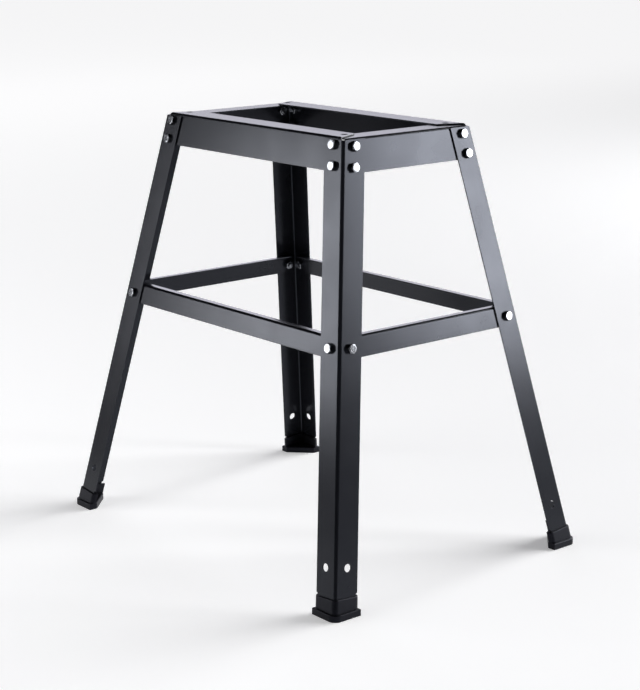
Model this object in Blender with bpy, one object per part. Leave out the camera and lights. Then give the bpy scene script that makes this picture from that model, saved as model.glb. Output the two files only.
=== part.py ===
"""A band saw stand: four splayed legs, a bolted top frame, four braces and four rubber feet.

Lengths are in metres. X runs along the long side, Y along the short side and Z up. The floor is at Z = 0,
and the origin lies on the floor, below the middle of the top frame.
"""

import math

import bmesh
import bpy
from mathutils import Matrix, Vector

# Overall size, over the outer faces of the legs where they would reach the level of the top
STAND_HEIGHT = 0.642
TOP_LENGTH = 0.420
TOP_WIDTH = 0.242
# How far each leg face runs outwards for each metre down
SPLAY = 0.182

# Pressed sheet, measured level, and the outer radius of its folds
SHEET = 0.002
FOLD_RADIUS = 0.0035
LEG_FOLD_RADIUS = 0.0042
FOLD_STEPS = 5
LEAST_INNER_RADIUS = 0.0005
# The gap left between pieces that touch
SEAT_GAP = 0.0003

LEG_FLANGE = 0.040
LEG_TOP_DROP = 0.004
LOWER_HOLE_DIAMETER = 0.0116
LOWER_HOLE_HEIGHT = 0.067
LOWER_HOLE_INSET = 0.022
NOTCH_DIAMETER = 0.006
# How far the middle of the notch lies above the end of the foot's collar
NOTCH_RISE = 0.001

RAIL_WEB = 0.048
LONG_RAIL_FLANGE = 0.040
SHORT_RAIL_FLANGE = 0.036
# How far a long rail's flange end is set back along its inner edge
FLANGE_SETBACK = 0.018
# The room at a rail's or brace's end, past the web that meets it in the corner
END_ROOM = 0.0024
# Holes for the saw's own bolts, through both flanges at each corner
SAW_HOLE_DIAMETER = 0.010
SAW_HOLE_FROM_LONG_EDGE = 0.018
SAW_HOLE_FROM_SHORT_EDGE = 0.012

BRACE_DROP = 0.268
BRACE_WEB = 0.030
BRACE_FLANGE = 0.012

BOLT_DIAMETER = 0.008
BOLT_HOLE_PLAY = 0.0005
BOLT_TAIL = 0.003
BOLT_TIP = 0.0008
BOLT_INSET = 0.020
HEAD_ACROSS_FLATS = 0.013
HEAD_HEIGHT = 0.0053
NUT_ACROSS_FLATS = 0.013
NUT_HEIGHT = 0.0065
HEX_CHAMFER = 0.0007
# Room for a spanner between a rail's flange and the nut under it, and the bolt's distance to the web's edge
SPANNER_ROOM = 0.0025
RAIL_BOLT_EDGE = 0.0085
HEX_SIDES = 6
ROUND_PER_SIDE = 3

COLLAR_WALL = 0.0028
COLLAR_INNER_WALL = 0.0025
COLLAR_END_WALL = 0.0022
COLLAR_HEIGHT = 0.0295
COLLAR_END_DROP = 0.0035
FOOT_BASE = 0.0100
FOOT_SOLE = 0.0055
FOOT_LIP = 0.0018
FOOT_END_LIP = 0.0010
FOOT_NECK = 0.0090
FOOT_CORNER_RADIUS = 0.0125

# Each leg's name, and the side of the stand it is on along X and Y
LEGS = {
    "front_left": (-1, -1),
    "front_right": (1, -1),
    "rear_left": (-1, 1),
    "rear_right": (1, 1),
}
X_FACE, Y_FACE = 0, 1
FACE_NAMES = {(X_FACE, -1): "left", (X_FACE, 1): "right", (Y_FACE, -1): "front", (Y_FACE, 1): "rear"}

# Sizes that follow from the ones above
WEB_OFFSET = SHEET + SEAT_GAP
BAR_END = 2 * WEB_OFFSET + END_ROOM
LEAN_COSINE = 1 / math.hypot(1, SPLAY)
GRIP = (SHEET + WEB_OFFSET) * LEAN_COSINE
BOLT_REACH = GRIP + SEAT_GAP + NUT_HEIGHT + BOLT_TAIL
LONG_RAIL_TOP = STAND_HEIGHT
SHORT_RAIL_TOP = LONG_RAIL_TOP - SHEET - SEAT_GAP
BRACE_TOP = STAND_HEIGHT - BRACE_DROP
BRACE_BOLT_HEIGHT = BRACE_TOP - BRACE_WEB / 2
RAIL_BOLT_DROPS = {
    "upper": SHEET + SPANNER_ROOM + NUT_ACROSS_FLATS / 2,
    "lower": RAIL_WEB - RAIL_BOLT_EDGE,
}
SAW_HOLE_IN_X = WEB_OFFSET + SHORT_RAIL_FLANGE - SAW_HOLE_FROM_SHORT_EDGE
SAW_HOLE_IN_Y = WEB_OFFSET + LONG_RAIL_FLANGE - SAW_HOLE_FROM_LONG_EDGE
LEG_TOP = STAND_HEIGHT - LEG_TOP_DROP
LEG_BOTTOM = FOOT_SOLE + SEAT_GAP
COLLAR_END = LEG_FLANGE + SEAT_GAP + COLLAR_END_WALL
NOTCH_HEIGHT = COLLAR_HEIGHT - COLLAR_END_DROP + NOTCH_RISE
CUT_MARGIN = 4 * SHEET
BOLT_HOLE_DIAMETER = BOLT_DIAMETER + 2 * BOLT_HOLE_PLAY
ROUND_SIDES = HEX_SIDES * ROUND_PER_SIDE
SHARP_ANGLE = math.radians(30)


def clear_scene():
    for obj in list(bpy.data.objects):
        bpy.data.objects.remove(obj, do_unlink=True)


def material(name, colour, roughness, metallic):
    """A plain Principled BSDF material."""
    made = bpy.data.materials.new(name)
    made.use_nodes = True
    shader = made.node_tree.nodes["Principled BSDF"]
    shader.inputs["Base Color"].default_value = (*colour, 1)
    shader.inputs["Roughness"].default_value = roughness
    shader.inputs["Metallic"].default_value = metallic
    return made


def place(leg, in_x, in_y, height):
    """The point this far in from a leg's two outer faces at a height. It follows the faces' lean."""
    spread = SPLAY * (STAND_HEIGHT - height)
    x = TOP_LENGTH / 2 + spread - in_x
    y = TOP_WIDTH / 2 + spread - in_y
    return Vector((leg[0] * x, leg[1] * y, height))


def face_frame(leg, face, along, height):
    """A frame on a leg's outer face, this far from its corner: Z points out of the face, and X is level."""
    level = Vector((0, leg[1], 0)) if face == X_FACE else Vector((leg[0], 0, 0))
    out = Vector((leg[0], 0, SPLAY)) if face == X_FACE else Vector((0, leg[1], SPLAY))
    out.normalize()
    up = out.cross(level)
    insets = (0, along) if face == X_FACE else (along, 0)
    turn = Matrix((level, up, out)).transposed().to_4x4()
    return Matrix.Translation(place(leg, *insets, height)) @ turn


def arc(centre, radius, start):
    """Points of a quarter circle in a plane, clockwise from a start angle."""
    angles = [start - math.pi / 2 * step / FOLD_STEPS for step in range(FOLD_STEPS + 1)]
    return [(centre + radius * math.cos(a), centre + radius * math.sin(a)) for a in angles]


def fold(reach_a, reach_b, thickness, radius, offset=0.0):
    """A folded strip's section as pairs of outer and inner points, from the end of side A round to side B.

    Side A lies along the first coordinate and side B along the second, from the outer corner at the offset.
    """
    inner_radius = max(radius - thickness, LEAST_INNER_RADIUS)
    inner_centre = thickness + inner_radius
    outer = [(reach_a, 0), *arc(radius, radius, 1.5 * math.pi), (0, reach_b)]
    inner = [(reach_a, thickness), *arc(inner_centre, inner_radius, 1.5 * math.pi), (thickness, reach_b)]
    return [tuple(Vector(p) + Vector((offset, offset)) for p in pair) for pair in zip(outer, inner)]


def add_object(name, mesh, look, shade_smooth=True):
    if shade_smooth:
        mesh.shade_smooth()
        mesh.set_sharp_from_angle(angle=SHARP_ANGLE)
    obj = bpy.data.objects.new(name, mesh)
    bpy.context.scene.collection.objects.link(obj)
    if look:
        mesh.materials.append(look)
    return obj


def mesh_from(name, shape):
    """A mesh from a bmesh, with its faces pointing out."""
    bmesh.ops.recalc_face_normals(shape, faces=shape.faces)
    mesh = bpy.data.meshes.new(name)
    shape.to_mesh(mesh)
    shape.free()
    return mesh


def strip_mesh(name, section, first_end, second_end):
    """A solid strip between two ends, each a function from a section point to a point in space."""
    shape = bmesh.new()
    ends = []
    for end in (first_end, second_end):
        ends.append([[shape.verts.new(end(point)) for point in pair] for pair in section])
    for near, far in zip(zip(*ends), list(zip(*ends))[1:]):
        (a_first, a_second), (b_first, b_second) = near, far
        shape.faces.new((a_first[0], b_first[0], b_second[0], a_second[0]))
        shape.faces.new((a_first[1], a_second[1], b_second[1], b_first[1]))
        shape.faces.new((a_first[0], a_first[1], b_first[1], b_first[0]))
        shape.faces.new((a_second[0], b_second[0], b_second[1], a_second[1]))
    for station in (0, -1):
        first, second = ends[0][station], ends[1][station]
        shape.faces.new((first[0], second[0], second[1], first[1]))
    return mesh_from(name, shape)


def prism_mesh(name, outline, to_space, bottom, top):
    """A solid between two heights over an outline, which a function takes to space."""
    shape = bmesh.new()
    low, high = ([shape.verts.new(to_space(point, z)) for point in outline] for z in (bottom, top))
    shape.faces.new(low)
    shape.faces.new(high)
    for i, corner in enumerate(low):
        after = (i + 1) % len(low)
        shape.faces.new((corner, low[after], high[after], high[i]))
    return mesh_from(name, shape)


def ring_points(sides, radius, height):
    turns = [2 * math.pi * i / sides for i in range(sides)]
    return [(radius * math.cos(turn), radius * math.sin(turn), height) for turn in turns]


def bridge(shape, first, second):
    """Faces between two rings: a hexagon meets a circle in one face for each of its sides."""
    steps = [len(ring) // HEX_SIDES for ring in (first, second)]
    facets = HEX_SIDES
    if steps[0] == steps[1]:
        facets = len(first)
        steps = [1, 1]
    for i in range(facets):
        one = [first[(i * steps[0] + k) % len(first)] for k in range(steps[0] + 1)]
        two = [second[(i * steps[1] + k) % len(second)] for k in range(steps[1] + 1)]
        shape.faces.new((*one, *reversed(two)))


def stack_mesh(name, rings, ring_shaped=False):
    """A turned or hexagonal solid along Z from rings of (sides, radius, height), capped or made a ring."""
    shape = bmesh.new()
    loops = [[shape.verts.new(point) for point in ring_points(*ring)] for ring in rings]
    for first, second in zip(loops, loops[1:]):
        bridge(shape, first, second)
    if ring_shaped:
        bridge(shape, loops[-1], loops[0])
    else:
        shape.faces.new(loops[0])
        shape.faces.new(loops[-1])
    return mesh_from(name, shape)


def cut(obj, cutter, operation="DIFFERENCE"):
    """Cuts a hidden object from another, or joins it on."""
    cutter.hide_render = True
    cutter.display_type = "WIRE"
    boolean = obj.modifiers.new(cutter.name, "BOOLEAN")
    boolean.operation = operation
    boolean.solver = "EXACT"
    boolean.object = cutter


def drill(obj, holes):
    """Drills round holes, each a frame whose Z is the hole's axis and the hole's diameter."""
    shape = bmesh.new()
    for frame, diameter in holes:
        bmesh.ops.create_cone(
            shape,
            cap_ends=True,
            segments=ROUND_SIDES,
            radius1=diameter / 2,
            radius2=diameter / 2,
            depth=2 * CUT_MARGIN,
            matrix=frame,
        )
    name = obj.name + "_holes"
    cut(obj, add_object(name, mesh_from(name, shape), None, shade_smooth=False))


def rail_bolt_frames(leg, face):
    """The frames of the two bolts that hold a top rail to a leg's face, by name."""
    top = SHORT_RAIL_TOP if face == X_FACE else LONG_RAIL_TOP
    return {name: face_frame(leg, face, BOLT_INSET, top - drop) for name, drop in RAIL_BOLT_DROPS.items()}


def brace_bolt_frame(leg, face):
    return face_frame(leg, face, BOLT_INSET, BRACE_BOLT_HEIGHT)


def make_leg(name, leg, look):
    """A leg: folded sheet whose flanges lie outside the rails and braces."""
    section = fold(LEG_FLANGE, LEG_FLANGE, SHEET, LEG_FOLD_RADIUS)
    mesh = strip_mesh(
        name,
        section,
        lambda point: place(leg, *point, LEG_BOTTOM),
        lambda point: place(leg, *point, LEG_TOP),
    )
    obj = add_object(name, mesh, look)
    holes = []
    for face in (X_FACE, Y_FACE):
        frames = [*rail_bolt_frames(leg, face).values(), brace_bolt_frame(leg, face)]
        holes += [(frame, BOLT_HOLE_DIAMETER) for frame in frames]
        holes.append((face_frame(leg, face, LOWER_HOLE_INSET, LOWER_HOLE_HEIGHT), LOWER_HOLE_DIAMETER))
        holes.append((face_frame(leg, face, LEG_FLANGE, NOTCH_HEIGHT), NOTCH_DIAMETER))
    drill(obj, holes)
    return obj


def make_bar(name, face, side, top, web, flange, setback, look):
    """A rail or brace along one side of the stand: a folded sheet with its web inside the legs' flanges.

    Its flange lies level on top and points inwards. The flange's ends are set back towards its inner edge.
    """

    def end(leg):
        def to_space(point):
            inwards, down = point
            back = BAR_END + setback * inwards / flange
            insets = (WEB_OFFSET + inwards, back) if face == X_FACE else (back, WEB_OFFSET + inwards)
            return place(leg, *insets, top - down)

        return to_space

    ends = [(side, turn) if face == X_FACE else (turn, side) for turn in (-1, 1)]
    section = fold(flange, web, SHEET, FOLD_RADIUS)
    return add_object(name, strip_mesh(name, section, *(end(leg) for leg in ends)), look), ends


def make_rail(face, side, look):
    """A top rail: its flange carries the saw, and the long rails' flanges lie over the short rails'."""
    short = face == X_FACE
    top = SHORT_RAIL_TOP if short else LONG_RAIL_TOP
    flange = SHORT_RAIL_FLANGE if short else LONG_RAIL_FLANGE
    setback = 0 if short else FLANGE_SETBACK
    name = "top_rail_" + FACE_NAMES[face, side]
    obj, ends = make_bar(name, face, side, top, RAIL_WEB, flange, setback, look)
    holes = []
    for leg in ends:
        holes += [(frame, BOLT_HOLE_DIAMETER) for frame in rail_bolt_frames(leg, face).values()]
        saw_hole = place(leg, SAW_HOLE_IN_X, SAW_HOLE_IN_Y, STAND_HEIGHT)
        holes.append((Matrix.Translation(saw_hole), SAW_HOLE_DIAMETER))
    drill(obj, holes)
    return obj


def make_brace(face, side, look):
    """A brace half way up: its narrow flange is mitred where it meets its neighbours'."""
    name = "brace_" + FACE_NAMES[face, side]
    obj, ends = make_bar(name, face, side, BRACE_TOP, BRACE_WEB, BRACE_FLANGE, BRACE_FLANGE, look)
    drill(obj, [(brace_bolt_frame(leg, face), BOLT_HOLE_DIAMETER) for leg in ends])
    return obj


def collar_height(point):
    """The height of a foot's collar, which drops from the leg's corner to the ends of its two sides."""
    return COLLAR_HEIGHT - COLLAR_END_DROP * max(point) / COLLAR_END


def make_foot(name, leg, look):
    """A rubber foot: a triangular base with a collar that holds both flanges of the leg in a slot."""
    edge = COLLAR_WALL + FOOT_LIP
    end = COLLAR_END + FOOT_END_LIP
    corner = arc(FOOT_CORNER_RADIUS - edge, FOOT_CORNER_RADIUS, 1.5 * math.pi)
    outline = [(end, -edge), *corner, (-edge, end), (FOOT_NECK, end), (end, FOOT_NECK)]
    floor_corner = place(leg, 0, 0, 0)

    def on_base(point, height):
        return Vector((floor_corner.x - leg[0] * point[0], floor_corner.y - leg[1] * point[1], height))

    obj = add_object(name, prism_mesh(name, outline, on_base, 0, FOOT_BASE), look)

    wall = COLLAR_WALL + SEAT_GAP + SHEET + SEAT_GAP + COLLAR_INNER_WALL
    reach = COLLAR_END + COLLAR_WALL
    section = fold(reach, reach, wall, LEG_FOLD_RADIUS + COLLAR_WALL, -COLLAR_WALL)
    collar = strip_mesh(
        name + "_collar",
        section,
        lambda point: place(leg, *point, (FOOT_SOLE + FOOT_BASE) / 2),
        lambda point: place(leg, *point, collar_height(point)),
    )
    cut(obj, add_object(name + "_collar", collar, None), "UNION")

    reach = LEG_FLANGE + 2 * SEAT_GAP
    section = fold(reach, reach, SHEET + 2 * SEAT_GAP, LEG_FOLD_RADIUS + SEAT_GAP, -SEAT_GAP)
    slot = strip_mesh(
        name + "_slot",
        section,
        lambda point: place(leg, *point, FOOT_SOLE),
        lambda point: place(leg, *point, COLLAR_HEIGHT + CUT_MARGIN),
    )
    cut(obj, add_object(name + "_slot", slot, None))
    return obj


def corner_radius(across_flats):
    return across_flats / 2 / math.cos(math.pi / HEX_SIDES)


def head_rings():
    """A hexagonal head above the face, and the top of the shank below it."""
    radius = corner_radius(HEAD_ACROSS_FLATS)
    top = SEAT_GAP + HEAD_HEIGHT
    return [
        (HEX_SIDES, radius - HEX_CHAMFER, top),
        (HEX_SIDES, radius, top - HEX_CHAMFER),
        (HEX_SIDES, radius, SEAT_GAP),
        (ROUND_SIDES, BOLT_DIAMETER / 2, SEAT_GAP),
    ]


def tail_rings():
    return [
        (ROUND_SIDES, BOLT_DIAMETER / 2, BOLT_TIP - BOLT_REACH),
        (ROUND_SIDES, BOLT_DIAMETER / 2 - BOLT_TIP, -BOLT_REACH),
    ]


def nut_rings():
    """The outside of a hexagonal nut behind the two sheets that the bolt clamps."""
    radius = corner_radius(NUT_ACROSS_FLATS)
    near = -GRIP - SEAT_GAP
    far = near - NUT_HEIGHT
    return [
        (HEX_SIDES, radius - HEX_CHAMFER, near),
        (HEX_SIDES, radius, near - HEX_CHAMFER),
        (HEX_SIDES, radius, far + HEX_CHAMFER),
        (HEX_SIDES, radius - HEX_CHAMFER, far),
    ]


def ring_round(hexagon, diameter):
    """A round ring in the plane of a hexagonal one."""
    return (ROUND_SIDES, diameter / 2, hexagon[2])


def bolt_mesh():
    return stack_mesh("bolt", head_rings() + tail_rings())


def nut_mesh():
    outside = nut_rings()
    bore = BOLT_DIAMETER + 2 * SEAT_GAP
    rings = [ring_round(outside[0], bore), *outside, ring_round(outside[-1], bore)]
    return stack_mesh("nut", rings, ring_shaped=True)


def bolt_and_nut_mesh():
    """A brace's bolt, with its nut run up tight and made one piece with it."""
    nut = nut_rings()
    joins = [ring_round(nut[i], BOLT_DIAMETER) for i in (0, -1)]
    return stack_mesh("bolt_and_nut", head_rings() + [joins[0], *nut, joins[1]] + tail_rings())


def main():
    clear_scene()
    coated_steel = material("powder_coated_steel", (0.028, 0.030, 0.034), 0.45, 0.0)
    zinc = material("zinc_plated_steel", (0.62, 0.63, 0.64), 0.28, 1.0)
    rubber = material("black_rubber", (0.012, 0.012, 0.013), 0.7, 0.0)

    pieces = []
    for name, leg in LEGS.items():
        pieces.append(make_leg("leg_" + name, leg, coated_steel))
        pieces.append(make_foot("foot_" + name, leg, rubber))
    for face, side in FACE_NAMES:
        pieces.append(make_rail(face, side, coated_steel))
        pieces.append(make_brace(face, side, coated_steel))

    bolt, nut, brace_bolt = bolt_mesh(), nut_mesh(), bolt_and_nut_mesh()
    for name, leg in LEGS.items():
        for face in (X_FACE, Y_FACE):
            where = f"{name}_{FACE_NAMES[face, leg[face]]}_face"
            fasteners = [(f"brace_bolt_{where}", brace_bolt, brace_bolt_frame(leg, face))]
            for level, frame in rail_bolt_frames(leg, face).items():
                fasteners.append((f"bolt_{where}_{level}", bolt, frame))
                fasteners.append((f"nut_{where}_{level}", nut, frame))
            for fastener, mesh, frame in fasteners:
                obj = add_object(fastener, mesh, None)
                obj.matrix_world = frame
                pieces.append(obj)
    for mesh in (bolt, nut, brace_bolt):
        mesh.materials.append(zinc)

    stand = bpy.data.objects.new("band_saw_stand", None)
    bpy.context.scene.collection.objects.link(stand)
    for piece in pieces:
        piece.parent = stand


main()
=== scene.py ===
"""Dresses the band saw stand: folded sheet, hexagon bolts and nuts, and moulded feet, in a pale studio.

Lengths are in metres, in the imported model's frame: X along the long side, Y along the short side and Z up.
Sheet pieces and feet on the front and the right are modelled, and mirrored to the rear and the left.
One bolt and one nut are modelled, and copied to every place.
"""

import math

import bmesh
import bpy
from mathutils import Matrix, Vector


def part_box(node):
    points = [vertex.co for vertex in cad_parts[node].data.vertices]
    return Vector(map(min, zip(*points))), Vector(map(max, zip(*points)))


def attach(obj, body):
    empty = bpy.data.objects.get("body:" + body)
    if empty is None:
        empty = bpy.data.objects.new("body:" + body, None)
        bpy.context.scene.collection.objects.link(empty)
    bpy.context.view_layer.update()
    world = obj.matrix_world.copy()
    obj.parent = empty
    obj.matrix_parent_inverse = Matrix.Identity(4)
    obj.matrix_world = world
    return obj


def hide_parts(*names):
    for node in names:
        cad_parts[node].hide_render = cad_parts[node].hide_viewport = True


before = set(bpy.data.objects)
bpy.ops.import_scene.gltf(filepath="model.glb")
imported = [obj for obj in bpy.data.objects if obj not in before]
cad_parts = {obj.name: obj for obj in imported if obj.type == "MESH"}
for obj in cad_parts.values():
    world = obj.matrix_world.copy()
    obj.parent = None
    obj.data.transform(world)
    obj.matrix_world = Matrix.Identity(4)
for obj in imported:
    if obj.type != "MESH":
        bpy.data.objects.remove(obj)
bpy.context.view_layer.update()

# Overall size, over the outer faces of the legs where they would reach the level of the top
STAND_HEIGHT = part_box("top_rail_front")[1].z
TOP_LENGTH = 0.420
TOP_WIDTH = 0.242
# How far each leg face runs outwards for each metre down
SPLAY = 0.182
LEAN_COSINE = 1 / math.hypot(1, SPLAY)

# Folded sheet: its thickness, the outer radius of its folds, and how far the coat rounds its cut edges
SHEET = 0.002
FOLD_RADIUS = 0.0035
LEG_FOLD_RADIUS = 0.0042
FOLD_STEPS = 8
LEAST_INNER_RADIUS = 0.0005
COATED_EDGE = 0.0005
SEAT_GAP = 0.0003

LEG_FLANGE = 0.040
LEG_TOP_DROP = 0.004
LEG_TOP = STAND_HEIGHT - LEG_TOP_DROP
LOWER_HOLE_DIAMETER = 0.0116
LOWER_HOLE_HEIGHT = 0.067
LOWER_HOLE_INSET = 0.022
NOTCH_DIAMETER = 0.006
NOTCH_RISE = 0.001

# Rails and braces: their webs lie inside the legs' flanges, and their ends stop short of each other
WEB_OFFSET = SHEET + SEAT_GAP
BAR_END_GAP = 0.0024
BAR_END = 2 * WEB_OFFSET + BAR_END_GAP
RAIL_WEB = 0.048
LONG_RAIL_FLANGE = 0.040
SHORT_RAIL_FLANGE = 0.036
FLANGE_SETBACK = 0.018
LONG_RAIL_TOP = STAND_HEIGHT
SHORT_RAIL_TOP = LONG_RAIL_TOP - SHEET - SEAT_GAP
# The saw's own bolts go through both flanges, this far from their inner edges
SAW_HOLE_DIAMETER = 0.010
SAW_HOLE_TO_SHORT_EDGE = 0.012
SAW_HOLE_TO_LONG_EDGE = 0.018
SAW_HOLE_IN_X = WEB_OFFSET + SHORT_RAIL_FLANGE - SAW_HOLE_TO_SHORT_EDGE
SAW_HOLE_IN_Y = WEB_OFFSET + LONG_RAIL_FLANGE - SAW_HOLE_TO_LONG_EDGE
BRACE_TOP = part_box("brace_front")[1].z
BRACE_WEB = 0.030
BRACE_FLANGE = 0.012

# M8 bolts and nuts
BOLT_DIAMETER = 0.008
BOLT_HOLE_DIAMETER = 0.009
BOLT_INSET = 0.020
ACROSS_FLATS = 0.013
HEAD_HEIGHT = 0.0053
NUT_HEIGHT = 0.0065
THREAD_PITCH = 0.00125
THREAD_DEPTH = 0.00077
BOLT_TAIL = 0.003
GRIP = (SHEET + WEB_OFFSET) * LEAN_COSINE
NUT_SEAT = -GRIP - SEAT_GAP
BOLT_END = NUT_SEAT - NUT_HEIGHT - BOLT_TAIL
HEAD_BELOW_FLANGE = 0.0025
LOWER_BOLT_RISE = 0.0085
RAIL_BOLT_DROPS = {
    "upper": SHEET + HEAD_BELOW_FLANGE + ACROSS_FLATS / 2,
    "lower": RAIL_WEB - LOWER_BOLT_RISE,
}
BRACE_BOLT_HEIGHT = BRACE_TOP - BRACE_WEB / 2
HEX_CORNER = ACROSS_FLATS / math.sqrt(3)
# Each hexagon has a 30 degree chamfer, which leaves a round flat nearly as wide as its flats
CHAMFER_FLAT = 0.90 * ACROSS_FLATS / 2
CHAMFER_SLOPE = math.tan(math.radians(30))
DISH_RADIUS = 0.0039
DISH_DEPTH = 0.0003
PLATED_EDGE = 0.00018
ROUND_SIDES = 36
# How many degrees each bolt and nut is turned past the one before it
BOLT_TURN = 37
NUT_TURN = 23

# Moulded feet
COLLAR_WALL = 0.0028
COLLAR_INNER_WALL = 0.0025
COLLAR_END_WALL = 0.0022
COLLAR_END = LEG_FLANGE + SEAT_GAP + COLLAR_END_WALL
COLLAR_END_RADIUS = 0.007
COLLAR_LIP = 0.0013
COLLAR_HEIGHT = 0.0295
COLLAR_END_DROP = 0.0035
FOOT_BASE = 0.0100
FOOT_SOLE = 0.0055
FOOT_RIM = 0.0018
FOOT_END_RIM = 0.0010
FOOT_EDGE = COLLAR_WALL + FOOT_RIM
FOOT_END = COLLAR_END + FOOT_END_RIM
FOOT_NECK = 0.0090
FOOT_CORNER_RADIUS = 0.0125
FOOT_LIP = 0.0016
MOULDED_EDGE = 0.0005
MOULDED_STEPS = 3
LEG_BOTTOM = FOOT_SOLE + SEAT_GAP
NOTCH_HEIGHT = COLLAR_HEIGHT - COLLAR_END_DROP + NOTCH_RISE

# Spare length on a blank before its ends are cut, and on a cutter past the wall it cuts
SPARE = 0.008
SMOOTH_ANGLE = math.radians(32)
# Corners closer than this become one corner
SAME_CORNER = 1e-7
SAME_THREAD_CORNER = 1e-6
# A face counts as a top or an outer side if this much of its normal points up or outwards
FACING = 0.5
LIP_TOP_FACING = 0.7
LIP_SIDE_FACING = 0.3

LEGS = {"front_left": (-1, -1), "front_right": (1, -1), "rear_left": (-1, 1), "rear_right": (1, 1)}
MODELLED = LEGS["front_right"]
X_FACE, Y_FACE = 0, 1
FACE_NAMES = {(X_FACE, -1): "left", (X_FACE, 1): "right", (Y_FACE, -1): "front", (Y_FACE, 1): "rear"}

# The photograph's camera: its place, its turns in degrees, and its focal length in pixels
CAMERA_PLACE = (2.04279, -1.68093, 0.95183)
CAMERA_YAW, CAMERA_PITCH, CAMERA_ROLL = 50.3913, -14.0446, -0.3424
FOCAL_PIXELS = 1761.987
IMAGE_HEIGHT = 690
SENSOR = 36.0

FLOOR_SIZE = 80
# The paper fades out this far to each side of the stand, and widens along the view by this share of
# the distance
PAPER_EDGE = (0.62, 1.25)
PAPER_FLARE = 0.28
# The lamps light the paper most at one spot, so its own white grows with the distance from there
LIT_SPOT = (0.76, 2.92, 0)
LIT_REACH = (1.86, 7.46)
PAPER_WHITE = 0.853

# The studio is dark, but for a white wall beyond the stand with a brighter window along it. The wall is
# turned a few degrees to the left. It fades out between two cosines of the angle from its middle, and
# its window's foot and its top fade between two sines of the angle above the floor
STUDIO_DARK, WALL_WHITE, WINDOW_GAIN = 0.05, 0.8, 4.3
WALL_TURN = 8
WALL_EDGE = (0.76, 0.97)
WINDOW_FOOT = (0.14, 0.25)
WALL_TOP = (0.30, 0.46)


def place(leg, in_x, in_y, height):
    """The point this far in from a leg's two outer faces at a height. It follows the faces' lean."""
    spread = SPLAY * (STAND_HEIGHT - height)
    return Vector((
        leg[0] * (TOP_LENGTH / 2 + spread - in_x),
        leg[1] * (TOP_WIDTH / 2 + spread - in_y),
        height,
    ))


def on_face(leg, face, along, height):
    """A frame on a leg's outer face, this far from its corner. Z points outwards, and X is level."""
    level = Vector((0, leg[1], 0)) if face == X_FACE else Vector((leg[0], 0, 0))
    out = Vector((leg[0], 0, SPLAY)) if face == X_FACE else Vector((0, leg[1], SPLAY))
    out.normalize()
    insets = (0, along) if face == X_FACE else (along, 0)
    turn = Matrix((level, out.cross(level), out)).transposed().to_4x4()
    return Matrix.Translation(place(leg, *insets, height)) @ turn


def rail_bolt_frames(leg, face):
    """The frames of the two bolts that hold a top rail to a leg's face, by name."""
    top = SHORT_RAIL_TOP if face == X_FACE else LONG_RAIL_TOP
    return {name: on_face(leg, face, BOLT_INSET, top - drop) for name, drop in RAIL_BOLT_DROPS.items()}


def brace_bolt_frame(leg, face):
    return on_face(leg, face, BOLT_INSET, BRACE_BOLT_HEIGHT)


def stop_editing():
    if bpy.context.mode != "OBJECT":
        bpy.ops.object.mode_set(mode="OBJECT")


def begin(name, add, **settings):
    """Adds a primitive by itself, with its size and place in its mesh, and opens it for editing."""
    stop_editing()
    bpy.ops.object.select_all(action="DESELECT")
    add(**settings)
    piece = bpy.context.object
    piece.name = name
    bpy.ops.object.transform_apply(location=True, rotation=True, scale=True)
    bpy.ops.object.mode_set(mode="EDIT")
    return piece


def pick(kind, wanted):
    """Selects the corners, edges or faces that a test wants, of the piece open for editing."""
    bpy.ops.mesh.select_mode(type=kind)
    bpy.ops.mesh.select_all(action="DESELECT")
    mesh = bpy.context.object.data
    shape = bmesh.from_edit_mesh(mesh)
    shape.normal_update()
    for item in {"VERT": shape.verts, "EDGE": shape.edges, "FACE": shape.faces}[kind]:
        if wanted(item):
            item.select_set(True)
    shape.select_flush_mode()
    bmesh.update_edit_mesh(mesh)


def trim(point, outwards):
    """Cuts off what lies past a plane, and closes the cut."""
    bpy.ops.mesh.select_all(action="SELECT")
    bpy.ops.mesh.bisect(plane_co=point, plane_no=outwards, use_fill=True, clear_outer=True)


def modify(piece, kind, **settings):
    """Gives a piece a modifier and applies it."""
    stop_editing()
    bpy.context.view_layer.objects.active = piece
    bpy.ops.object.modifier_add(type=kind)
    modifier = piece.modifiers[-1]
    for name, value in settings.items():
        setattr(modifier, name, value)
    bpy.ops.object.modifier_apply(modifier=modifier.name)


def carve(piece, other, operation="DIFFERENCE"):
    """Cuts another shape from a piece, joins it on, or keeps what they share, and uses it up."""
    modify(piece, "BOOLEAN", operation=operation, solver="EXACT", object=other)
    bpy.data.objects.remove(other)


def drill(piece, holes):
    """Drills round holes: each is a frame whose Z is the hole's axis, and a diameter."""
    drills = None
    for at, diameter in holes:
        bit = {
            "vertices": ROUND_SIDES,
            "radius": diameter / 2,
            "depth": 2 * SPARE,
            "location": at.to_translation(),
            "rotation": at.to_euler(),
        }
        if drills is None:
            drills = begin("drills", bpy.ops.mesh.primitive_cylinder_add, **bit)
        else:
            bpy.ops.mesh.primitive_cylinder_add(**bit)
    carve(piece, drills)


def ease(piece, width, steps=2):
    """Rounds a piece's sharp edges."""
    modify(
        piece,
        "BEVEL",
        width=width,
        segments=steps,
        limit_method="ANGLE",
        angle_limit=SMOOTH_ANGLE,
        miter_outer="MITER_ARC",
    )


def copy_of(piece, name):
    """A copy of a piece with its own mesh, alone in the selection."""
    bpy.ops.object.select_all(action="DESELECT")
    piece.select_set(True)
    bpy.context.view_layer.objects.active = piece
    bpy.ops.object.duplicate()
    made = bpy.context.object
    made.name = name
    return made


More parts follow.
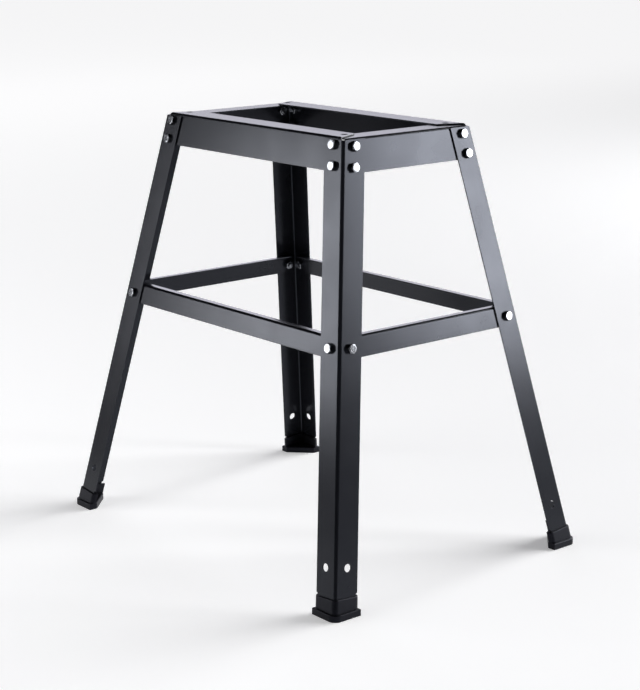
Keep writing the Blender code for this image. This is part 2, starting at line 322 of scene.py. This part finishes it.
def mirror_of(piece, name, across_x, across_y):
    """A copy on the other side of the stand, with its faces turned out again."""
    made = copy_of(piece, name)
    bpy.ops.object.mode_set(mode="EDIT")
    bpy.ops.mesh.select_all(action="SELECT")
    bpy.ops.transform.mirror(constraint_axis=(across_x, across_y, False), center_override=(0, 0, 0))
    bpy.ops.mesh.remove_doubles(threshold=SAME_CORNER)
    bpy.ops.mesh.normals_make_consistent(inside=False)
    bpy.ops.object.mode_set(mode="OBJECT")
    return made


def leant_block(name, leg, outside, reach, radius, bottom, top):
    """A block in a leg's corner, leant like the leg, with its outer edge rounded and its ends level.

    Its outer faces lie this far outside the leg's, and its inner faces this far inside them.
    """
    middle = (reach - outside) / 2
    centre = place(leg, middle, middle, top)
    centre.z = (bottom + top) / 2
    size = (reach + outside, reach + outside, top - bottom)
    block = begin(name, bpy.ops.mesh.primitive_cube_add, size=1, location=centre, scale=size)

    def at_corner(edge):
        ends = [end.co - centre for end in edge.verts]
        return all(leg[i] * end[i] > 0 for end in ends for i in (0, 1))

    pick("EDGE", at_corner)
    bpy.ops.mesh.bevel(offset=radius, segments=FOLD_STEPS, profile=0.5)
    pick("VERT", lambda corner: corner.co.z < centre.z)
    lean = place(leg, 0, 0, bottom) - place(leg, 0, 0, top)
    bpy.ops.transform.translate(value=(lean.x, lean.y, 0))
    return block


def angle_strip(name, leg, outside, reach, thickness, radius, bottom, top):
    """A folded strip in a leg's corner: a leant block less the same block this thickness further in."""
    strip = leant_block(name, leg, outside, reach, radius, bottom, top)
    inner_radius = max(radius - thickness, LEAST_INNER_RADIUS)
    inside = leant_block(
        "inside", leg, outside - thickness, reach + SPARE, inner_radius, bottom - SPARE, top + SPARE
    )
    carve(strip, inside)
    bpy.ops.object.mode_set(mode="EDIT")
    return strip


def fold_leg():
    """The front right leg, folded, drilled and notched."""
    leg = angle_strip("leg", MODELLED, 0, LEG_FLANGE, SHEET, LEG_FOLD_RADIUS, LEG_BOTTOM, LEG_TOP)
    holes = []
    for face in (X_FACE, Y_FACE):
        frames = [*rail_bolt_frames(MODELLED, face).values(), brace_bolt_frame(MODELLED, face)]
        holes += [(at, BOLT_HOLE_DIAMETER) for at in frames]
        holes.append((on_face(MODELLED, face, LOWER_HOLE_INSET, LOWER_HOLE_HEIGHT), LOWER_HOLE_DIAMETER))
        holes.append((on_face(MODELLED, face, LEG_FLANGE, NOTCH_HEIGHT), NOTCH_DIAMETER))
    drill(leg, holes)
    ease(leg, COATED_EDGE)
    return leg


def fold_bar(name, face, top, web, flange, setback):
    """A rail or brace along the front or the right: a leant web with a level flange at its top.

    The flange's ends are set back towards its inner edge.
    """
    along, across = (1, 0) if face == X_FACE else (0, 1)
    insets = (WEB_OFFSET, BAR_END) if face == X_FACE else (BAR_END, WEB_OFFSET)
    upper = place(MODELLED, *insets, top)
    lower = place(MODELLED, *insets, top - web)
    side = MODELLED[face]
    half = abs(upper[along])
    centre, size = Vector((0, 0, top - web / 2)), Vector((0, 0, web))
    centre[across] = upper[across] - side * flange / 2
    size[across] = flange
    size[along] = 2 * half
    bar = begin(name, bpy.ops.mesh.primitive_cube_add, size=1, location=centre, scale=size)
    # Only the top and the outer side stay
    pick("FACE", lambda found: max(found.normal.z, side * found.normal[across]) < FACING)
    bpy.ops.mesh.delete(type="FACE")

    def stretch(share):
        value = [1, 1, 1]
        value[along] = share
        bpy.ops.transform.resize(value=value, center_override=(0, 0, 0))

    inner = upper[across] - side * flange
    pick("VERT", lambda corner: abs(corner.co[across] - inner) < SHEET)
    stretch((half - setback) / half)
    pick("VERT", lambda corner: corner.co.z < centre.z)
    lean = [0, 0, 0]
    lean[across] = lower[across] - upper[across]
    bpy.ops.transform.translate(value=lean)
    stretch(abs(lower[along]) / half)
    pick("EDGE", lambda edge: len(edge.link_faces) == 2)
    bpy.ops.mesh.bevel(offset=FOLD_RADIUS, segments=FOLD_STEPS, profile=0.5)
    modify(bar, "SOLIDIFY", thickness=SHEET * LEAN_COSINE, offset=-1, use_even_offset=True)
    return bar


def ends_of(face):
    """The legs at the two ends of the front or the right side."""
    side = MODELLED[face]
    return [(side, turn) if face == X_FACE else (turn, side) for turn in (-1, 1)]


def fold_rail(face):
    """A top rail, drilled for its own bolts and the saw's."""
    if face == X_FACE:
        rail = fold_bar("rail", face, SHORT_RAIL_TOP, RAIL_WEB, SHORT_RAIL_FLANGE, 0)
    else:
        rail = fold_bar("rail", face, LONG_RAIL_TOP, RAIL_WEB, LONG_RAIL_FLANGE, FLANGE_SETBACK)
    holes = []
    for leg in ends_of(face):
        holes += [(at, BOLT_HOLE_DIAMETER) for at in rail_bolt_frames(leg, face).values()]
        saw_hole = Matrix.Translation(place(leg, SAW_HOLE_IN_X, SAW_HOLE_IN_Y, STAND_HEIGHT))
        holes.append((saw_hole, SAW_HOLE_DIAMETER))
    drill(rail, holes)
    ease(rail, COATED_EDGE)
    return rail


def fold_brace(face):
    """A brace half way up, with mitred flange ends."""
    brace = fold_bar("brace", face, BRACE_TOP, BRACE_WEB, BRACE_FLANGE, BRACE_FLANGE)
    drill(brace, [(brace_bolt_frame(leg, face), BOLT_HOLE_DIAMETER) for leg in ends_of(face)])
    ease(brace, COATED_EDGE)
    return brace


def mould_foot():
    """The front right foot: a triangular base, and a collar with a slot that the leg stands in."""
    corner = place(MODELLED, 0, 0, 0)

    def insets(point):
        """How far a point is inside each of the leg's two outer faces."""
        edge = place(MODELLED, 0, 0, point.z)
        return [MODELLED[i] * (edge[i] - point[i]) for i in (0, 1)]

    size = FOOT_END + FOOT_EDGE
    middle = (FOOT_END - FOOT_EDGE) / 2
    foot = begin(
        "foot",
        bpy.ops.mesh.primitive_cube_add,
        size=1,
        location=(corner.x - MODELLED[0] * middle, corner.y - MODELLED[1] * middle, FOOT_BASE / 2),
        scale=(size, size, FOOT_BASE),
    )

    pick("EDGE", lambda edge: all(max(insets(end.co)) < middle for end in edge.verts))
    bpy.ops.mesh.bevel(offset=FOOT_CORNER_RADIUS, segments=FOLD_STEPS, profile=0.5)
    neck = Vector((corner.x - MODELLED[0] * FOOT_NECK, corner.y - MODELLED[1] * FOOT_END, 0))
    trim(neck, (-MODELLED[0], -MODELLED[1], 0))
    pick("EDGE", lambda edge: all(end.co.z > FOOT_BASE - SEAT_GAP for end in edge.verts))
    bpy.ops.mesh.bevel(offset=FOOT_LIP, segments=MOULDED_STEPS, profile=0.5)

    wall = COLLAR_WALL + SEAT_GAP + SHEET + SEAT_GAP + COLLAR_INNER_WALL
    collar = angle_strip(
        "collar",
        MODELLED,
        COLLAR_WALL,
        COLLAR_END,
        wall,
        LEG_FOLD_RADIUS + COLLAR_WALL,
        (FOOT_SOLE + FOOT_BASE) / 2,
        COLLAR_HEIGHT,
    )

    def at_end(edge):
        found = [sorted(insets(end.co)) for end in edge.verts]
        return all(abs(near + COLLAR_WALL) + abs(far - COLLAR_END) < SEAT_GAP for near, far in found)

    def on_lip(edge):
        normals = [side.normal for side in edge.link_faces]
        outwards = [max(MODELLED[i] * normal[i] for i in (0, 1)) for normal in normals]
        upwards = [normal.z for normal in normals]
        return max(upwards) > LIP_TOP_FACING and max(outwards) > LIP_SIDE_FACING

    pick("EDGE", at_end)
    bpy.ops.mesh.bevel(offset=COLLAR_END_RADIUS, segments=FOLD_STEPS, profile=0.5)
    drop = COLLAR_END_DROP / COLLAR_END
    top = place(MODELLED, 0, 0, COLLAR_HEIGHT)
    trim(top, (-MODELLED[0] * drop, 0, 1))
    trim(top, (0, -MODELLED[1] * drop, 1))
    pick("EDGE", on_lip)
    bpy.ops.mesh.bevel(offset=COLLAR_LIP, segments=MOULDED_STEPS, profile=0.5)
    carve(foot, collar, "UNION")
    slot = angle_strip(
        "slot",
        MODELLED,
        SEAT_GAP,
        LEG_FLANGE + SEAT_GAP,
        SHEET + 2 * SEAT_GAP,
        LEG_FOLD_RADIUS + SEAT_GAP,
        FOOT_SOLE,
        COLLAR_HEIGHT + SPARE,
    )
    carve(foot, slot)
    ease(foot, MOULDED_EDGE, MOULDED_STEPS)
    return foot


def hexagon(name, bottom, top, both_ends):
    """A hexagonal bar, with the round chamfer that turning leaves on its top, or on both ends."""
    piece = begin(
        name,
        bpy.ops.mesh.primitive_cylinder_add,
        vertices=6,
        radius=HEX_CORNER,
        depth=top - bottom,
        location=(0, 0, (bottom + top) / 2),
    )
    spare = CHAMFER_SLOPE * SPARE
    wide = CHAMFER_FLAT + (spare + top - bottom) / CHAMFER_SLOPE
    for end, turn in ((top, 1), (bottom, -1))[: 2 if both_ends else 1]:
        cone = begin(
            "cone",
            bpy.ops.mesh.primitive_cone_add,
            vertices=ROUND_SIDES,
            radius1=wide if turn > 0 else CHAMFER_FLAT,
            radius2=CHAMFER_FLAT if turn > 0 else wide,
            depth=top - bottom + spare,
            location=(0, 0, end - turn * (top - bottom + spare) / 2),
        )
        carve(piece, cone, "INTERSECT")
    return piece


def turned_bar(name, radius, bottom, top, sides=ROUND_SIDES):
    """A round bar along Z."""
    return begin(
        name,
        bpy.ops.mesh.primitive_cylinder_add,
        vertices=sides,
        radius=radius,
        depth=top - bottom,
        location=(0, 0, (bottom + top) / 2),
    )


def thread(bottom, top):
    """A length of screw thread: one edge profile wound round Z, and cut level at both ends."""
    turns = math.ceil((top - bottom) / THREAD_PITCH) + 2
    crest = BOLT_DIAMETER / 2
    profile = begin(
        "thread",
        bpy.ops.mesh.primitive_plane_add,
        size=THREAD_PITCH,
        location=(crest - THREAD_PITCH / 2, 0, bottom - THREAD_PITCH),
        rotation=(math.pi / 2, 0, 0),
    )
    # Only the upright side at the crest stays. It is cut in four, and all but its second and third
    # corners are pushed in to the root
    pick("VERT", lambda corner: corner.co.x < crest - THREAD_PITCH / 2)
    bpy.ops.mesh.delete(type="VERT")
    bpy.ops.mesh.select_all(action="SELECT")
    bpy.ops.mesh.subdivide(number_cuts=3)
    quarter = THREAD_PITCH / 4
    crest_middle = bottom - 4.5 * quarter
    pick("VERT", lambda corner: abs(corner.co.z - crest_middle) > quarter)
    bpy.ops.transform.translate(value=(-THREAD_DEPTH, 0, 0))
    modify(
        profile,
        "SCREW",
        angle=2 * math.pi,
        screw_offset=THREAD_PITCH,
        iterations=turns,
        steps=ROUND_SIDES,
        render_steps=ROUND_SIDES,
        use_merge_vertices=True,
        merge_threshold=SAME_THREAD_CORNER,
        use_normal_calculate=True,
    )
    bpy.ops.object.mode_set(mode="EDIT")
    bpy.ops.mesh.select_all(action="SELECT")
    bpy.ops.mesh.remove_doubles(threshold=SAME_THREAD_CORNER)
    trim((0, 0, bottom), (0, 0, -1))
    trim((0, 0, top), (0, 0, 1))
    bpy.ops.mesh.select_all(action="SELECT")
    bpy.ops.mesh.normals_make_consistent(inside=False)
    return profile


def turn_bolt():
    """A hexagon bolt whose head seats at Z = 0: a dished head, a washer face, a shank and a thread."""
    head_top = SEAT_GAP + HEAD_HEIGHT
    bolt = hexagon("bolt", SEAT_GAP, head_top, both_ends=False)
    dish = turned_bar("dish", DISH_RADIUS, head_top - DISH_DEPTH, head_top + SPARE)
    carve(bolt, dish)
    ease(bolt, PLATED_EDGE)
    inside_head = SEAT_GAP + COATED_EDGE
    washer_face = turned_bar("washer_face", CHAMFER_FLAT, 0, inside_head)
    carve(bolt, washer_face, "UNION")
    thread_top = NUT_SEAT - NUT_HEIGHT + THREAD_PITCH
    shank_end = thread_top - THREAD_PITCH / 2
    shank = turned_bar("shank", BOLT_DIAMETER / 2 - SEAT_GAP, shank_end, inside_head)
    carve(bolt, shank, "UNION")
    tail = thread(BOLT_END, thread_top)
    carve(bolt, tail, "UNION")
    return bolt


def turn_nut():
    """A hexagon nut with both ends chamfered, in its place behind the two sheets."""
    nut_end = NUT_SEAT - NUT_HEIGHT
    nut = hexagon("nut", nut_end, NUT_SEAT, both_ends=True)
    bore = turned_bar("bore", BOLT_DIAMETER / 2 + SEAT_GAP / 2, nut_end - SPARE, NUT_SEAT + SPARE)
    carve(nut, bore)
    ease(nut, PLATED_EDGE)
    return nut


def linear(hexcode):
    """An sRGB hex colour as linear RGBA."""
    shares = [int(hexcode[i:i + 2], 16) / 255 for i in (1, 3, 5)]
    return (*[s / 12.92 if s <= 0.04045 else ((s + 0.055) / 1.055) ** 2.4 for s in shares], 1)


def add_node(tree, kind, inputs=None, **settings):
    """Adds a node with its settings, and sets each of its inputs or links it to an output."""
    made = tree.nodes.new(kind)
    for name, value in settings.items():
        setattr(made, name, value)
    for socket, value in (inputs or {}).items():
        if isinstance(value, bpy.types.NodeSocket):
            tree.links.new(value, made.inputs[socket])
        else:
            made.inputs[socket].default_value = value
    return made


def add_noise(tree, where, millimetres, detail):
    """Adds noise whose features are this many millimetres apart."""
    inputs = {"Vector": where, "Scale": 1000 / millimetres, "Detail": detail}
    return add_node(tree, "ShaderNodeTexNoise", inputs)


def calculate(tree, operation, *values):
    """What a Math node makes of these values or outputs."""
    return add_node(tree, "ShaderNodeMath", dict(enumerate(values)), operation=operation).outputs[0]


def add_range(tree, value, ends, first, last, kind="SMOOTHSTEP"):
    """Goes from the first level to the last while a value goes between two ends."""
    inputs = {0: value, "From Min": ends[0], "From Max": ends[1], "To Min": first, "To Max": last}
    return add_node(tree, "ShaderNodeMapRange", inputs, interpolation_type=kind).outputs["Result"]


def level_direction(turn):
    """The level direction this many degrees to the left of the camera's view."""
    angle = math.radians(CAMERA_YAW + turn)
    return (-math.sin(angle), math.cos(angle), 0)


def new_material(name):
    """An empty material, its node tree and its surface output."""
    made = bpy.data.materials.new(name)
    made.use_nodes = True
    made.node_tree.nodes.clear()
    return made, made.node_tree, made.node_tree.nodes.new("ShaderNodeOutputMaterial").inputs["Surface"]


def satin_black_powder_coat():
    """Polyester powder, sprayed dry and stoved: a deep black skin with a satin gloss.

    Its faint orange peel, from powder that didn't quite flow out, wavers in what the sheet reflects.
    """
    made, tree, surface = new_material("satin_black_powder_coat")
    where = add_node(tree, "ShaderNodeTexCoord").outputs["Object"]
    # Orange peel is 1 to 2 mm across: drawn at 3 mm, so that it shows
    peel = add_noise(tree, where, 3, 1.0)
    # Film build varies over a few centimetres, and takes the gloss with it
    film = add_noise(tree, where, 45, 3.0)
    tint = add_node(tree, "ShaderNodeMix", {0: film.outputs["Fac"]}, data_type="RGBA")
    tint.inputs["A"].default_value = linear("#131418")
    tint.inputs["B"].default_value = linear("#18191d")
    gloss = add_node(tree, "ShaderNodeMapRange", {0: film.outputs["Fac"], "To Min": 0.18, "To Max": 0.26})
    bump = add_node(
        tree,
        "ShaderNodeBump",
        {"Height": peel.outputs["Fac"], "Strength": 0.25, "Distance": 0.00003},
    )
    coat = add_node(
        tree,
        "ShaderNodeBsdfPrincipled",
        {
            "Base Color": tint.outputs["Result"],
            "Roughness": gloss.outputs["Result"],
            "IOR": 1.35,
            "Specular Tint": linear("#e4ebff"),
            "Normal": bump.outputs["Normal"],
        },
    )
    tree.links.new(coat.outputs["BSDF"], surface)
    return made


def bright_zinc_plate():
    """Steel, cold forged and barrel plated with clear zinc: silvery, with a sharp shine.

    Fine marks from tumbling in the barrel break up its highlights.
    """
    made, tree, surface = new_material("bright_zinc_plate")
    where = add_node(tree, "ShaderNodeTexCoord").outputs["Object"]
    # Spangle of about 1 mm, and tumbling marks of 0.2 mm drawn at 0.6 mm, so that they show
    spangle = add_noise(tree, where, 1.2, 2.0)
    marks = add_noise(tree, where, 0.6, 3.0)
    tint = add_node(tree, "ShaderNodeMix", {0: spangle.outputs["Fac"]}, data_type="RGBA")
    tint.inputs["A"].default_value = linear("#787a7f")
    tint.inputs["B"].default_value = linear("#86888d")
    dull = add_node(tree, "ShaderNodeMapRange", {0: marks.outputs["Fac"], "To Min": 0.13, "To Max": 0.19})
    bump = add_node(
        tree,
        "ShaderNodeBump",
        {"Height": marks.outputs["Fac"], "Strength": 0.3, "Distance": 0.00002},
    )
    plate = add_node(
        tree,
        "ShaderNodeBsdfPrincipled",
        {
            "Base Color": tint.outputs["Result"],
            "Metallic": 1.0,
            "Roughness": dull.outputs["Result"],
            "Normal": bump.outputs["Normal"],
        },
    )
    tree.links.new(plate.outputs["BSDF"], surface)
    return made


def moulded_black_rubber():
    """Carbon black rubber, pressed in a spark-eroded mould: a soft matt black with a fine even grain."""
    made, tree, surface = new_material("moulded_black_rubber")
    where = add_node(tree, "ShaderNodeTexCoord").outputs["Object"]
    # The mould's grain is 0.1 to 0.3 mm: drawn at 0.8 mm, so that it shows
    grain = add_noise(tree, where, 0.8, 2.0)
    # Bloom, the wax that comes to the surface, lies in patches of a centimetre or so
    bloom = add_noise(tree, where, 14, 3.0)
    tint = add_node(tree, "ShaderNodeMix", {0: bloom.outputs["Fac"]}, data_type="RGBA")
    tint.inputs["A"].default_value = linear("#09090b")
    tint.inputs["B"].default_value = linear("#0f0f13")
    matt = add_node(tree, "ShaderNodeMapRange", {0: bloom.outputs["Fac"], "To Min": 0.34, "To Max": 0.46})
    bump = add_node(
        tree,
        "ShaderNodeBump",
        {"Height": grain.outputs["Fac"], "Strength": 0.35, "Distance": 0.00008},
    )
    rubber = add_node(
        tree,
        "ShaderNodeBsdfPrincipled",
        {
            "Base Color": tint.outputs["Result"],
            "Roughness": matt.outputs["Result"],
            "IOR": 1.28,
            "Specular Tint": linear("#dfe4ff"),
            "Normal": bump.outputs["Normal"],
        },
    )
    tree.links.new(rubber.outputs["BSDF"], surface)
    return made


def finish_piece(piece, material, slot, *nodes):
    """Gives a piece its shading and finish, and puts it in the place of its CAD nodes."""
    bpy.ops.object.select_all(action="DESELECT")
    piece.select_set(True)
    bpy.context.view_layer.objects.active = piece
    bpy.ops.object.shade_smooth_by_angle(angle=SMOOTH_ANGLE)
    modify(piece, "WEIGHTED_NORMAL", keep_sharp=True, weight=50)
    piece.data.name = piece.name
    piece.data.materials.clear()
    piece.data.materials.append(material)
    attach(piece, "root")
    if nodes:
        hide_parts(*nodes)


def dress_legs_and_feet(coat, rubber):
    """Makes one leg and one foot, and mirrors them to the other three corners."""
    leg, foot = fold_leg(), mould_foot()
    for name, side in LEGS.items():
        flips = (side[0] != MODELLED[0], side[1] != MODELLED[1])
        for model, kind, material, slot in (
            (leg, "leg", coat, "coated_steel"),
            (foot, "foot", rubber, "rubber"),
        ):
            piece = mirror_of(model, f"{kind}_{name}_piece", *flips) if any(flips) else model
            piece.name = f"{kind}_{name}_piece"
            finish_piece(piece, material, slot, f"{kind}_{name}")


def dress_rails_and_braces(coat):
    """Makes the right and front rails and braces, and mirrors them to the left and the rear."""
    for face in (X_FACE, Y_FACE):
        for kind, fold in (("top_rail", fold_rail), ("brace", fold_brace)):
            model = fold(face)
            side = MODELLED[face]
            far_name = f"{kind}_{FACE_NAMES[face, -side]}_piece"
            far = mirror_of(model, far_name, face == X_FACE, face == Y_FACE)
            model.name = f"{kind}_{FACE_NAMES[face, side]}_piece"
            for piece, turn in ((model, side), (far, -side)):
                finish_piece(piece, coat, "coated_steel", f"{kind}_{FACE_NAMES[face, turn]}")


def dress_bolts(zinc):
    """Copies the bolt and the nut to every place, each left at its own turn as a spanner leaves it."""
    bolt, nut = turn_bolt(), turn_nut()
    count = 0
    for name, leg in LEGS.items():
        for face in (X_FACE, Y_FACE):
            where = f"{name}_{FACE_NAMES[face, leg[face]]}_face"
            places = [(f"brace_bolt_{where}", None, f"brace_nut_{where}", brace_bolt_frame(leg, face))]
            for level, at in rail_bolt_frames(leg, face).items():
                rail_nut = f"nut_{where}_{level}"
                places.append((f"bolt_{where}_{level}", rail_nut, rail_nut, at))
            for bolt_node, nut_node, nut_name, at in places:
                count += 1
                for model, piece_name, node, turn in (
                    (bolt, bolt_node, bolt_node, BOLT_TURN * count),
                    (nut, nut_name, nut_node, NUT_TURN * count),
                ):
                    piece = copy_of(model, f"{piece_name}_piece")
                    piece.matrix_world = at @ Matrix.Rotation(math.radians(turn), 4, "Z")
                    bpy.ops.object.transform_apply(location=True, rotation=True, scale=True)
                    finish_piece(piece, zinc, "zinc", *([node] if node else []))
    bpy.data.objects.remove(bolt)
    bpy.data.objects.remove(nut)


def lay_floor():
    """White studio paper, which widens before and behind the stand, on a grey floor that the legs mirror.

    The paper takes the stand's shadow. Where the lamps light it less, it is given some white of its own.
    """
    piece = begin("studio_floor", bpy.ops.mesh.primitive_plane_add, size=FLOOR_SIZE)
    bpy.ops.mesh.subdivide(number_cuts=3)
    stop_editing()
    made, tree, surface = new_material("white_studio_paper")
    where = add_node(tree, "ShaderNodeTexCoord").outputs["Object"]

    def distance_along(direction):
        """How far a place is from the middle of the stand along a direction, either way."""
        along = add_node(tree, "ShaderNodeVectorMath", {0: where, 1: direction}, operation="DOT_PRODUCT")
        return calculate(tree, "ABSOLUTE", along.outputs["Value"])

    ahead = distance_along(level_direction(0))
    aside = distance_along(level_direction(90))
    past_edge = calculate(tree, "MULTIPLY_ADD", ahead, -PAPER_FLARE, aside)
    on_paper = add_range(tree, past_edge, PAPER_EDGE, 1.0, 0.0)
    tint = add_node(tree, "ShaderNodeMix", {0: on_paper}, data_type="RGBA")
    tint.inputs["A"].default_value = linear("#a8a8aa")
    tint.inputs["B"].default_value = linear("#f0f0f1")
    paper = add_node(tree, "ShaderNodeBsdfDiffuse", {"Color": tint.outputs["Result"]})
    away = add_node(tree, "ShaderNodeVectorMath", {0: where, 1: LIT_SPOT}, operation="DISTANCE")
    near = add_range(tree, away.outputs["Value"], LIT_REACH, 1.0, 0.0, "LINEAR")
    near = calculate(tree, "POWER", near, 2.0)
    white = calculate(tree, "MULTIPLY_ADD", near, -PAPER_WHITE, PAPER_WHITE)
    white = calculate(tree, "MULTIPLY", white, on_paper)
    rays = add_node(tree, "ShaderNodeLightPath").outputs
    seen = calculate(tree, "MAXIMUM", rays["Is Camera Ray"], rays["Is Glossy Ray"])
    seen = calculate(tree, "MAXIMUM", seen, rays["Is Transmission Ray"])
    strength = calculate(tree, "MULTIPLY", white, seen)
    glow = add_node(tree, "ShaderNodeEmission", {"Color": (1, 1, 1, 1), "Strength": strength})
    both = add_node(tree, "ShaderNodeAddShader", {0: paper.outputs["BSDF"], 1: glow.outputs["Emission"]})
    tree.links.new(both.outputs["Shader"], surface)
    piece.data.materials.append(made)


def hang_softbox(name, azimuth, distance, height, width, tall, radiance):
    """A softbox that faces the middle of the stand, so many degrees round from the camera's right."""
    lamp = bpy.data.lights.new(name, "AREA")
    lamp.shape = "RECTANGLE"
    lamp.size, lamp.size_y = width, tall
    lamp.energy = math.pi * width * tall * radiance
    softbox = bpy.data.objects.new(name, lamp)
    bpy.context.scene.collection.objects.link(softbox)
    turn = math.radians(CAMERA_YAW + azimuth)
    softbox.location = (distance * math.cos(turn), distance * math.sin(turn), height)
    middle = Vector((0, 0, STAND_HEIGHT / 2))
    softbox.rotation_euler = (middle - softbox.location).to_track_quat("-Z", "Y").to_euler()
    softbox.visible_camera = False


def set_light():
    """Strips that the faces mirror, softboxes for the shadows, and a white wall that the top mirrors."""
    hang_softbox(
        "left_strip", azimuth=174.6, distance=3.4, height=0.57, width=0.66, tall=0.90, radiance=10.4
    )
    hang_softbox(
        "right_strip", azimuth=-7.5, distance=3.4, height=0.915, width=0.60, tall=1.20, radiance=19
    )
    hang_softbox(
        "left_softbox", azimuth=200, distance=2.2, height=2.0, width=2.0, tall=2.0, radiance=1.2
    )
    hang_softbox(
        "right_softbox", azimuth=26, distance=4.6, height=1.9, width=3.45, tall=3.6, radiance=9.0
    )
    world = bpy.data.worlds.new("studio")
    bpy.context.scene.world = world
    world.use_nodes = True
    tree = world.node_tree
    tree.nodes.clear()
    where = add_node(tree, "ShaderNodeTexCoord").outputs["Generated"]
    middle = {0: where, 1: level_direction(WALL_TURN)}
    towards = add_node(tree, "ShaderNodeVectorMath", middle, operation="DOT_PRODUCT").outputs["Value"]
    height = add_node(tree, "ShaderNodeSeparateXYZ", {0: where}).outputs["Z"]
    wall = add_range(tree, towards, WALL_EDGE, STUDIO_DARK, WALL_WHITE)
    window = add_range(tree, height, WINDOW_FOOT, 1.0, WINDOW_GAIN)
    below_top = add_range(tree, height, WALL_TOP, 1.0, 0.0)
    light = calculate(tree, "MULTIPLY", wall, window)
    light = calculate(tree, "MULTIPLY", light, below_top)
    sky = add_node(tree, "ShaderNodeBackground", {"Color": linear("#f3f2ff"), "Strength": light})
    out = add_node(tree, "ShaderNodeOutputWorld", {"Surface": sky.outputs["Background"]})
    out.is_active_output = True


def set_camera():
    """The photograph's camera. Its focal length goes with the image's longer side, which is its height."""
    lens = bpy.data.cameras.new("camera")
    lens.sensor_width = SENSOR
    lens.lens = FOCAL_PIXELS / IMAGE_HEIGHT * SENSOR
    camera = bpy.data.objects.new("camera", lens)
    bpy.context.scene.collection.objects.link(camera)
    camera.location = CAMERA_PLACE
    camera.rotation_euler = (
        Matrix.Rotation(math.radians(CAMERA_YAW), 3, "Z")
        @ Matrix.Rotation(math.radians(90 + CAMERA_PITCH), 3, "X")
        @ Matrix.Rotation(math.radians(CAMERA_ROLL), 3, "Z")
    ).to_euler()
    bpy.context.scene.camera = camera


coat = satin_black_powder_coat()
dress_legs_and_feet(coat, moulded_black_rubber())
dress_rails_and_braces(coat)
dress_bolts(bright_zinc_plate())
lay_floor()
set_light()
set_camera()
bpy.context.scene.view_settings.view_transform = "Standard"
